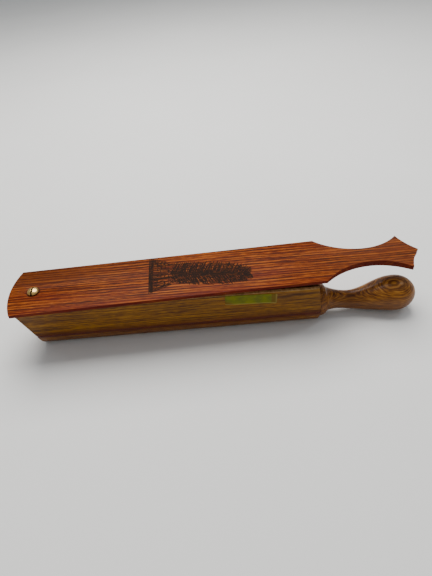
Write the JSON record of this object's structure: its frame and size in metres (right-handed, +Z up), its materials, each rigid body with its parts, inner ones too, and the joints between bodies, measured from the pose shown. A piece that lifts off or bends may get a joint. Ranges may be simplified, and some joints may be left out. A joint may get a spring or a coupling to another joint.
{
  "type": "paddle box game call",
  "caption": "Long wooden friction box call: a paddle lid pivots on a sprung screw over a narrow sound box with a turned handle.",
  "frame": {"origin": "on the flat underside of the base, straight below the hinge screw", "axes": "+X along the box from the hinge screw to the turned handle, +Z up out of the lid, +Y away from the labelled side"},
  "size_m": [0.3288, 0.0583, 0.0535],
  "materials": {
    "red_heartwood": "satin varnish, red-orange heartwood with fine lengthwise grain",
    "board_wood": "satin varnish, olive-brown",
    "base_wood": "satin varnish, olive-brown with a reddish glue line",
    "block_wood": "plain sanded",
    "handle_wood": "gloss varnish, olive-brown",
    "brass": "polished",
    "spring_steel": "drawn wire",
    "zinc_steel": "zinc plated",
    "green_label": "blank translucent sticker"
  },
  "bodies": {
    "box": {"base_board": "base_wood", "front_side_board": "board_wood", "rear_side_board": "board_wood", "hinge_block": "block_wood", "rear_block": "block_wood", "turned_handle": "handle_wood", "hinge_screw": "brass", "hinge_spring": "spring_steel", "blank_label": "green_label"},
    "spring_seat": {"spring_washer": "zinc_steel"},
    "lid": {"paddle_lid": "red_heartwood"}
  },
  "joints": [
    {"name": "lid_tilt", "type": "hinge", "parent": "box", "child": "spring_seat", "pos_m": [0.0047, 0, 0.0505], "axis": [0, -1, 0], "range_deg": [0, 4], "stiffness_Nm_per_rad": 0.044, "springref_deg": -61.31, "deforming": ["hinge_spring"]},
    {"name": "lid_swing", "type": "hinge", "parent": "spring_seat", "child": "lid", "pos_m": [0, 0, 0.0505], "axis": [0, 0, 1], "range_deg": [-92, 88]}
  ]
}
